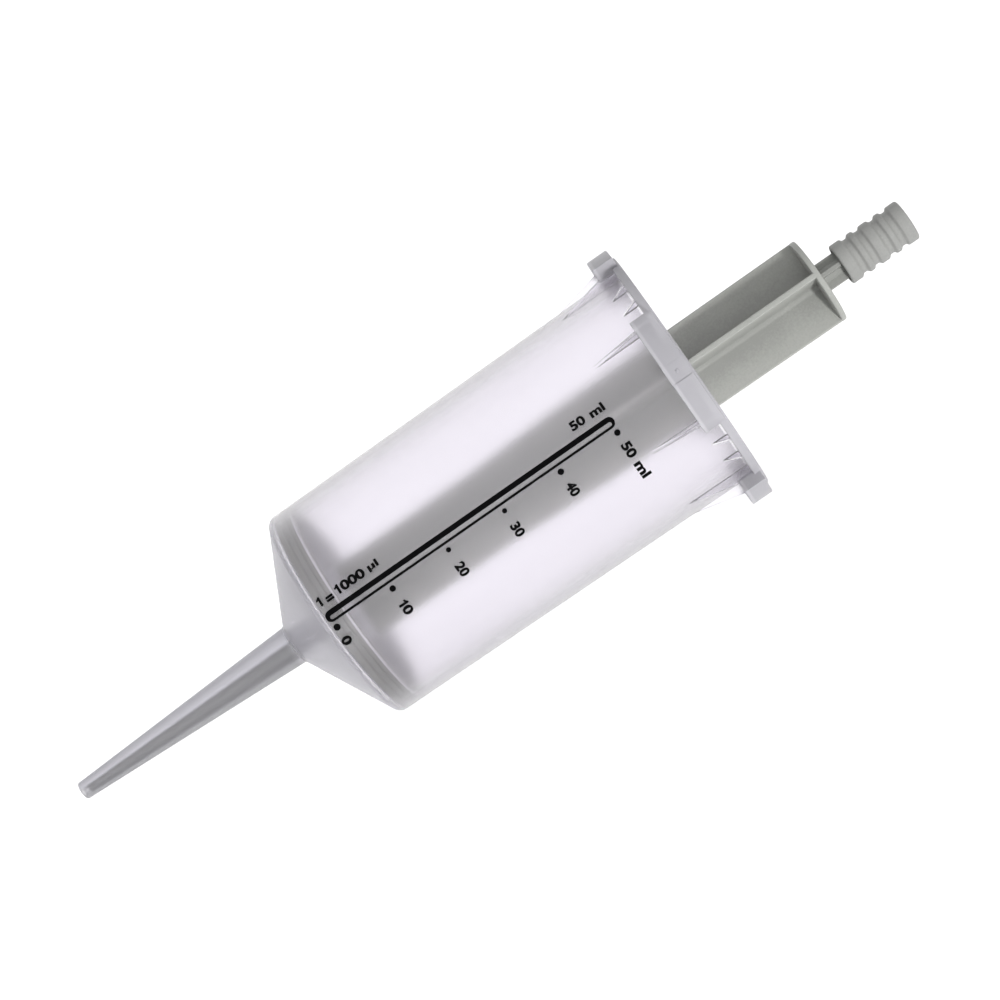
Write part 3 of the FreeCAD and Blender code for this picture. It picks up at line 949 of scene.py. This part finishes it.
def drawLoop():
    size = scaleSizes
    bm = bmesh.new()
    drawStadium(bm, size["loopStart"], size["loopEnd"], size["thickEdge"], size["thinEdge"])
    drawStadium(bm, size["loopStart"] + size["endWidth"], size["loopEnd"] - size["endWidth"],
                size["thickInside"], size["thinInside"])
    bmesh.ops.triangle_fill(bm, use_beauty=True, use_dissolve=False, edges=bm.edges)
    return bm


def drawDot(station, radius):
    bm = bmesh.new()
    bmesh.ops.create_circle(bm, cap_ends=True, segments=24, radius=radius)
    bmesh.ops.translate(bm, verts=bm.verts, vec=(station, scaleSizes["dotLine"], 0))
    return bm


def drawWords(words, length, height):
    return drawOne(length, height) if words == "1" else drawText(words, length, height)


def placeAcross(bm, station, start):
    # reads round the tube, with its top towards the flange
    swapped = Matrix(((0, 1, 0, station), (1, 0, 0, start), (0, 0, 1, 0), (0, 0, 0, 1)))
    bmesh.ops.transform(bm, verts=bm.verts, matrix=swapped)
    return bm


def placeAlong(bm, station, line):
    # reads along the tube, with its top away from the loop
    flipped = Matrix(((1, 0, 0, station), (0, -1, 0, line), (0, 0, 1, 0), (0, 0, 0, 1)))
    bmesh.ops.transform(bm, verts=bm.verts, matrix=flipped)
    return bm


def wrapOnTube(bm):
    for vert in bm.verts:
        station, round_, lift = vert.co
        outside = tubeRadius(station)
        angle = round_ / outside
        radius = outside - scaleSizes["sink"] + lift
        vert.co = (station, radius * math.cos(angle), radius * math.sin(angle))
    bmesh.ops.recalc_face_normals(bm, faces=bm.faces)


def makeScale():
    size = scaleSizes
    drawn = [drawLoop()]
    for number, radius in enumerate(size["dotRadii"]):
        drawn.append(drawDot(size["dotStart"] + number * size["dotPitch"], radius))
    for number, words, start, length in size["labels"]:
        station = size["dotStart"] + number * size["dotPitch"] - size["labelHeight"] / 2
        drawn.append(placeAcross(drawWords(words, length, size["labelHeight"]), station, start))
    for words, station, length, height in size["legend"]:
        drawn.append(placeAlong(drawWords(words, length, height), station, size["legendLine"]))
    whole = bmesh.new()
    for flat in drawn:
        sheet = bpy.data.meshes.new("flat")
        flat.to_mesh(sheet)
        flat.free()
        whole.from_mesh(sheet)
        bpy.data.meshes.remove(sheet)
    pushOut(whole, (0, 0, size["thickness"] + size["sink"]))
    wrapOnTube(whole)
    return toObject(whole, "printed_scale")


finishPiece(makeScale(), "barrel", inkBlack)


# Stage: pale floor, white surroundings, two soft lamps

stageLook = {
    "floorSize": 8.0,
    "floorColour": (0.8, 0.8, 0.805, 1),
    "floorLift": 0.7,
    "floorWhite": 1.06,
    "ambient": 0.39,
    "surround": 1.1,
    "surroundLower": 0.9,
    "lowerSky": (0.0, 0.9),
    "lampAim": (0.03, 0, 0.02),
    "keyLamp": {"place": (0.24, -1.0, 0.16), "width": 0.08, "height": 0.14, "power": 8.2},
    "backLamp": {"place": (0.0, 0.5, 1.1), "width": 1.4, "height": 0.9, "power": 3.0},
}


def makeFloor():
    bm = bmesh.new()
    bmesh.ops.create_grid(bm, x_segments=1, y_segments=1, size=stageLook["floorSize"] / 2)
    floor = toObject(bm, "floor")
    finish = Finish(bpy.data.materials.new("paleFloor"))
    camera = finish.add("ShaderNodeLightPath", output="Is Camera Ray")
    glossy = finish.add("ShaderNodeLightPath", output="Is Glossy Ray")
    through = finish.add("ShaderNodeLightPath", output="Is Transmission Ray")
    paint = finish.add("ShaderNodeBsdfDiffuse", None, {"Color": stageLook["floorColour"]})
    lift = camera * stageLook["floorLift"]
    glow = finish.add("ShaderNodeEmission", None, {"Color": (1, 1, 1, 1), "Strength": lift})
    lit = finish.add("ShaderNodeAddShader", None, {0: paint, 1: glow})
    white = finish.add("ShaderNodeEmission", None, {"Color": (1, 1, 1, 1), "Strength": stageLook["floorWhite"]})
    seen = finish.add("ShaderNodeMixShader", None, {0: glossy + through, 1: lit, 2: white})
    floor.data.materials.append(finish.show(seen))


def makeWorld():
    # plain white to the camera, dimmer to matt surfaces, brighter from the lower side through the clear wall
    world = Finish(bpy.data.worlds.new("surroundings"))
    bpy.context.scene.world = world.owner
    matt = world.add("ShaderNodeLightPath", output="Is Diffuse Ray")
    camera = world.add("ShaderNodeLightPath", output="Is Camera Ray")
    facing = world.add("ShaderNodeTexCoord", output="Generated")
    cross = world.add("ShaderNodeSeparateXYZ", None, {0: facing}, output=1)
    fromLower = (0 - cross).rise(*stageLook["lowerSky"])
    around = stageLook["surround"] + fromLower * stageLook["surroundLower"]
    seen = around + matt * (stageLook["ambient"] - around)
    strength = seen + camera * (1 - seen)
    world.show(world.add("ShaderNodeBackground", None, {"Color": (1, 1, 1, 1), "Strength": strength}),
               "ShaderNodeOutputWorld")


def makeLamp(name):
    setup = stageLook[name]
    light = bpy.data.lights.new(name, "AREA")
    light.shape = "RECTANGLE"
    light.size = setup["width"]
    light.size_y = setup["height"]
    light.energy = setup["power"]
    lamp = bpy.data.objects.new(name, light)
    lamp.location = setup["place"]
    way = Vector(stageLook["lampAim"]) - Vector(setup["place"])
    lamp.rotation_euler = way.to_track_quat("-Z", "Y").to_euler()
    lamp.visible_transmission = False  # the surroundings light what lies behind the clear wall
    lamp.visible_glossy = False  # and give the gloss, so that no lamp prints its own streak
    bpy.context.scene.collection.objects.link(lamp)


makeFloor()
makeWorld()
makeLamp("keyLamp")
makeLamp("backLamp")
print("stage ready")


# Camera: looks down on the near lug, a little from the head's side, rolled as in the photograph

cameraSetup = {
    "lens": 97.2,
    "sensor": 36,
    "distance": 0.4282,
    "height": 42.5,  # degrees above the plane of the tip's axis and the floor's cross direction
    "lean": 3.8,
    "roll": 34.76,
    "aimStation": 81.87,
    "aimAside": 0.25,
    "clipStart": 0.01,
    "clipEnd": 50,
}


def makeCamera():
    setup = cameraSetup
    height = math.radians(setup["height"])
    lean = math.radians(setup["lean"])
    spin = math.radians(setup["roll"])
    across = -levelAxis * math.cos(height) + riseAxis * math.sin(height)
    back = (across * math.cos(lean) + alongAxis * math.sin(lean)).normalized()
    axisSeen = (alongAxis - back * alongAxis.dot(back)).normalized()
    besideSeen = back.cross(axisSeen)
    right = axisSeen * math.cos(spin) - besideSeen * math.sin(spin)
    top = axisSeen * math.sin(spin) + besideSeen * math.cos(spin)
    aim = tipPlace @ Vector((setup["aimStation"], 0, 0)) + besideSeen * setup["aimAside"] * mm
    data = bpy.data.cameras.new("camera")
    data.lens = setup["lens"]
    data.sensor_width = setup["sensor"]
    data.clip_start = setup["clipStart"]
    data.clip_end = setup["clipEnd"]
    camera = bpy.data.objects.new("camera", data)
    turn = Matrix((right, top, back)).transposed().to_4x4()
    camera.matrix_world = Matrix.Translation(aim + back * setup["distance"]) @ turn
    bpy.context.scene.collection.objects.link(camera)
    bpy.context.scene.camera = camera


makeCamera()
bpy.context.scene.view_settings.view_transform = "Standard"
print("camera ready")
